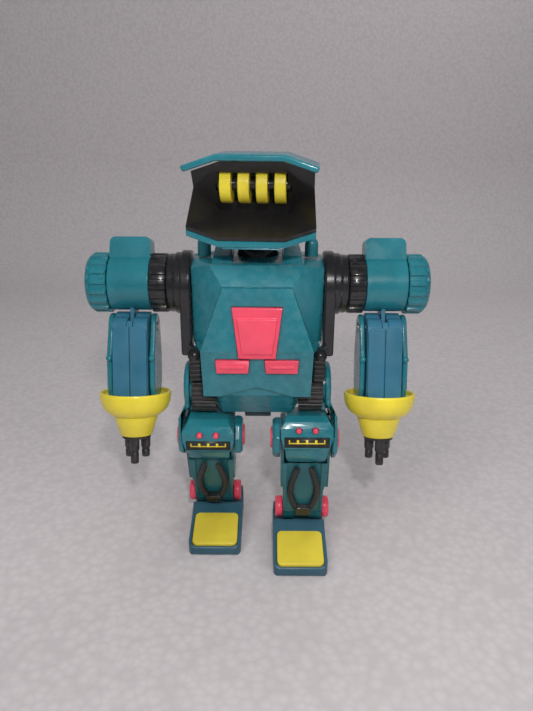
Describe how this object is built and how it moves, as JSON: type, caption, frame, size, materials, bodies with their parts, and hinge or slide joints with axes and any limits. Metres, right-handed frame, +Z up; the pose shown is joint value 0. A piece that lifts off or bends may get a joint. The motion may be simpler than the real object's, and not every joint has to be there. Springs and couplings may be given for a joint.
{
  "type": "toy robot figure",
  "caption": "Standing jointed plastic robot figure with an open-mouthed head, fluted shoulders, cone cuffs with barrel tips, bent knees and flat feet.",
  "frame": {"origin": "middle of the bounding box, on the surface under the soles", "axes": "+Z up, -Y the way the figure faces, +X its own left side"},
  "size_m": [0.1492, 0.0636, 0.18],
  "materials": {
    "teal_plastic": "glossy",
    "teal_shin": "glossy",
    "foot_blue": "satin",
    "blue_plastic": "glossy",
    "pink_plastic": "glossy",
    "yellow_plastic": "glossy",
    "pad_yellow": "satin",
    "black_gloss": "glossy",
    "black_satin": "satin",
    "black_matt": "matt",
    "pin_steel": "plain"
  },
  "bodies": {
    "torso": {"chest_shell_front": "teal_plastic", "chest_shell_rear": "teal_plastic", "chest_panel": "pink_plastic", "chest_bar_right": "pink_plastic", "chest_bar_left": "pink_plastic", "horn_right": "teal_plastic", "horn_left": "teal_plastic", "shoulder_plate_right": "black_gloss", "shoulder_plate_left": "black_gloss", "shoulder_axle": "pin_steel", "hip_axle": "pin_steel", "pelvis_block": "foot_blue", "neck_dome": "black_gloss"},
    "head": {"head_visor": "teal_plastic", "head_insert": "black_matt", "head_jaw": "teal_plastic", "head_rear": "teal_plastic", "lamp_spindle": "black_gloss", "lamp_rings": "yellow_plastic"},
    "upper_arm_right": {"shoulder_barrel_right": "black_gloss", "arm_housing_right": "teal_plastic", "arm_end_cap_right": "teal_plastic"},
    "forearm_right": {"elbow_pin_right": "pin_steel", "cheek_inner_right": "teal_plastic", "cheek_outer_right": "teal_plastic", "forearm_core_right": "blue_plastic", "cuff_right": "yellow_plastic"},
    "barrels_right": {"barrel_cluster_right": "black_satin"},
    "upper_arm_left": {"shoulder_barrel_left": "black_gloss", "arm_housing_left": "teal_plastic", "arm_end_cap_left": "teal_plastic"},
    "forearm_left": {"elbow_pin_left": "pin_steel", "cheek_inner_left": "teal_plastic", "cheek_outer_left": "teal_plastic", "forearm_core_left": "blue_plastic", "cuff_left": "yellow_plastic"},
    "barrels_left": {"barrel_cluster_left": "black_satin"},
    "thigh_right": {"thigh_frame_right": "teal_plastic", "thigh_strap_right": "black_gloss", "knee_housing_right": "teal_plastic", "knee_studs_right": "pink_plastic", "knee_disc_inner_right": "teal_plastic", "knee_axle_right": "pink_plastic"},
    "shin_right": {"shin_shell_right": "teal_shin", "shin_hose_right": "black_gloss", "ankle_axle_right": "pink_plastic"},
    "foot_right": {"foot_shell_right": "foot_blue", "toe_pad_right": "pad_yellow"},
    "thigh_left": {"thigh_frame_left": "teal_plastic", "thigh_strap_left": "black_gloss", "knee_housing_left": "teal_plastic", "knee_studs_left": "pink_plastic", "knee_disc_inner_left": "teal_plastic", "knee_axle_left": "pink_plastic"},
    "shin_left": {"shin_shell_left": "teal_shin", "shin_hose_left": "black_gloss", "ankle_axle_left": "pink_plastic"},
    "foot_left": {"foot_shell_left": "foot_blue", "toe_pad_left": "pad_yellow"}
  },
  "joints": [
    {"name": "neck_swivel", "type": "hinge", "parent": "torso", "child": "head", "pos_m": [0, 0.01475, 0], "axis": [0, 0, 1], "range_deg": [-35, 40]},
    {"name": "shoulder_right", "type": "hinge", "parent": "torso", "child": "upper_arm_right", "pos_m": [-0.0554, 0.01375, 0.124], "axis": [1, 0, 0], "continuous": true},
    {"name": "elbow_right", "type": "hinge", "parent": "upper_arm_right", "child": "forearm_right", "pos_m": [-0.0554, 0.0087, 0.10516], "axis": [1, 0, 0], "range_deg": [-35, 15]},
    {"name": "barrel_spin_right", "type": "hinge", "parent": "forearm_right", "child": "barrels_right", "pos_m": [-0.0554, 0.0087, 0.10516], "axis": [0, 0.259, 0.9659], "continuous": true},
    {"name": "shoulder_left", "type": "hinge", "parent": "torso", "child": "upper_arm_left", "pos_m": [0.0554, 0.01375, 0.124], "axis": [1, 0, 0], "continuous": true},
    {"name": "elbow_left", "type": "hinge", "parent": "upper_arm_left", "child": "forearm_left", "pos_m": [0.0554, 0.0087, 0.10516], "axis": [1, 0, 0], "range_deg": [-35, 15]},
    {"name": "barrel_spin_left", "type": "hinge", "parent": "forearm_left", "child": "barrels_left", "pos_m": [0.0554, 0.0087, 0.10516], "axis": [0, 0.259, 0.9659], "continuous": true},
    {"name": "hip_right", "type": "hinge", "parent": "torso", "child": "thigh_right", "pos_m": [-0.02225, 0.00875, 0.077], "axis": [1, 0, 0], "range_deg": [-15, 22]},
    {"name": "knee_right", "type": "hinge", "parent": "thigh_right", "child": "shin_right", "pos_m": [-0.02225, 0.00441, 0.05289], "axis": [1, 0, 0], "range_deg": [-24, 56]},
    {"name": "ankle_right", "type": "hinge", "parent": "shin_right", "child": "foot_right", "pos_m": [-0.02145, 0.01675, 0.014], "axis": [1, 0, 0], "range_deg": [-10, 25]},
    {"name": "hip_left", "type": "hinge", "parent": "torso", "child": "thigh_left", "pos_m": [0.02225, 0.00875, 0.077], "axis": [1, 0, 0], "range_deg": [-1, 33]},
    {"name": "knee_left", "type": "hinge", "parent": "thigh_left", "child": "shin_left", "pos_m": [0.02225, -0.00119, 0.05461], "axis": [1, 0, 0], "range_deg": [-26, 54]},
    {"name": "ankle_left", "type": "hinge", "parent": "shin_left", "child": "foot_left", "pos_m": [0.02145, 0.00275, 0.014], "axis": [1, 0, 0], "range_deg": [-20, 14]}
  ]
}
